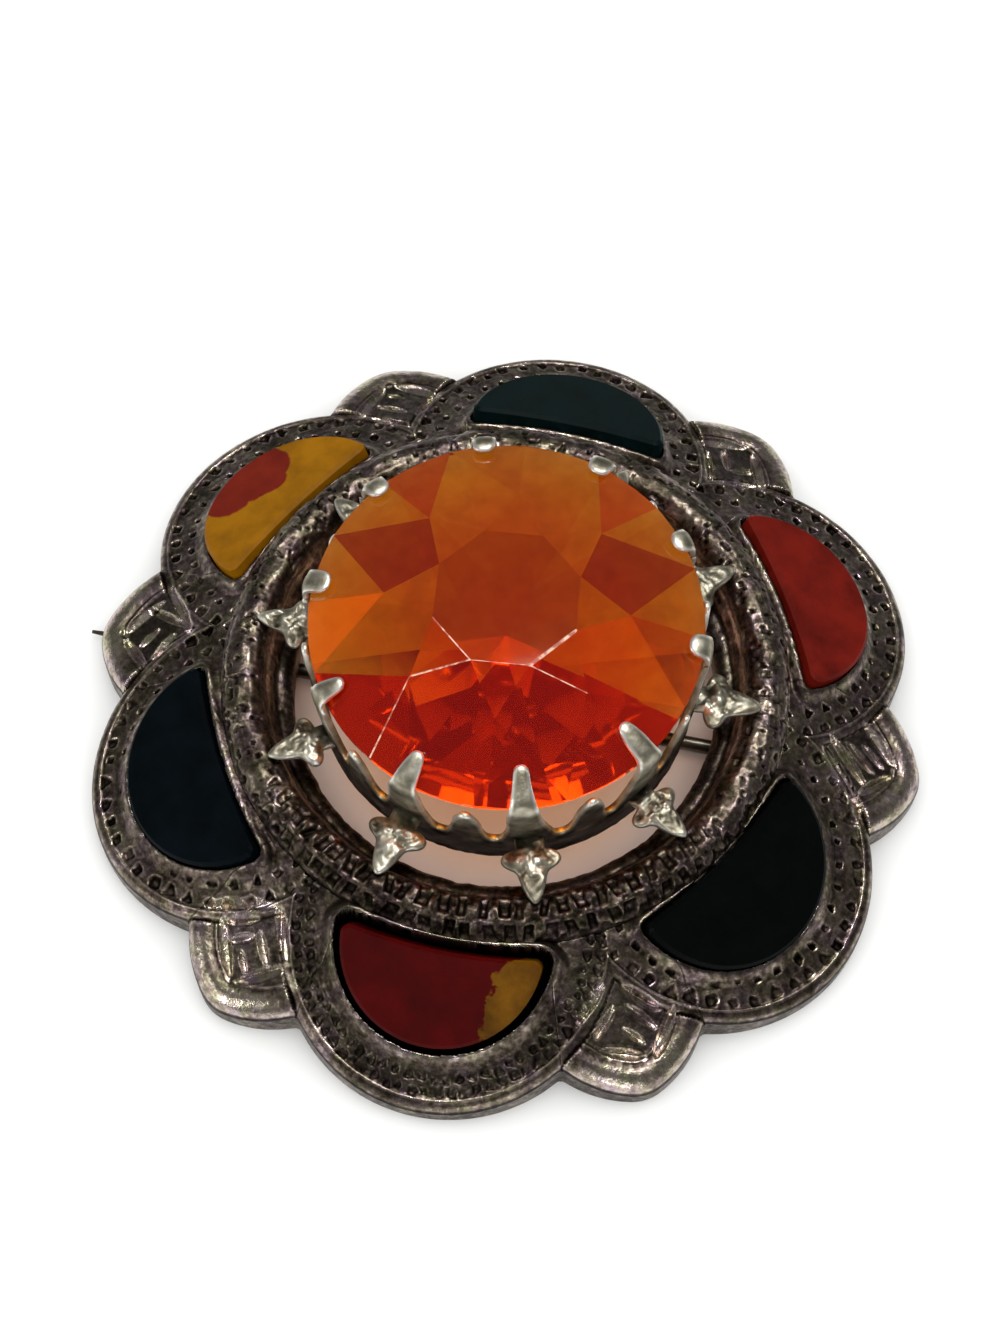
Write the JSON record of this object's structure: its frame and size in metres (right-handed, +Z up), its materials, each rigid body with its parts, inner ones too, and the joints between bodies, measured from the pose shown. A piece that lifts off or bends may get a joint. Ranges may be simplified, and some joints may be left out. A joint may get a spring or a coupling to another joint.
{
  "type": "pebble brooch",
  "caption": "Round domed silver brooch with slabs of polished stone let into its lobes, engraved leaves and a faceted stone in a raised claw setting.",
  "frame": {"origin": "on the centre stone's axis, in the plane that the rim of the brooch's back rests on", "axes": "+Z up through the centre stone's table, +X through the leaf over the pin's hinge, the pin's point towards -X, +Y through a lobe"},
  "size_m": [0.0464, 0.046, 0.0146],
  "materials": {
    "oxidised_silver": "dark, with bright worn edges",
    "setting_silver": "polished, tarnished in the hollows",
    "pin_metal": "dull",
    "orange_stone": "polished facets",
    "red_jasper": "polished",
    "yellow_jasper": "polished",
    "green_stone": "polished"
  },
  "bodies": {
    "root": {"silver_frame": "oxidised_silver", "crown_setting": "setting_silver", "centre_stone": "orange_stone", "slab_red_right": "red_jasper", "slab_green": "green_stone", "slab_yellow": "yellow_jasper", "slab_dark_left": "green_stone", "slab_red_bottom": "red_jasper", "slab_dark_right": "green_stone", "brooch_pin": "pin_metal"}
  },
  "joints": []
}
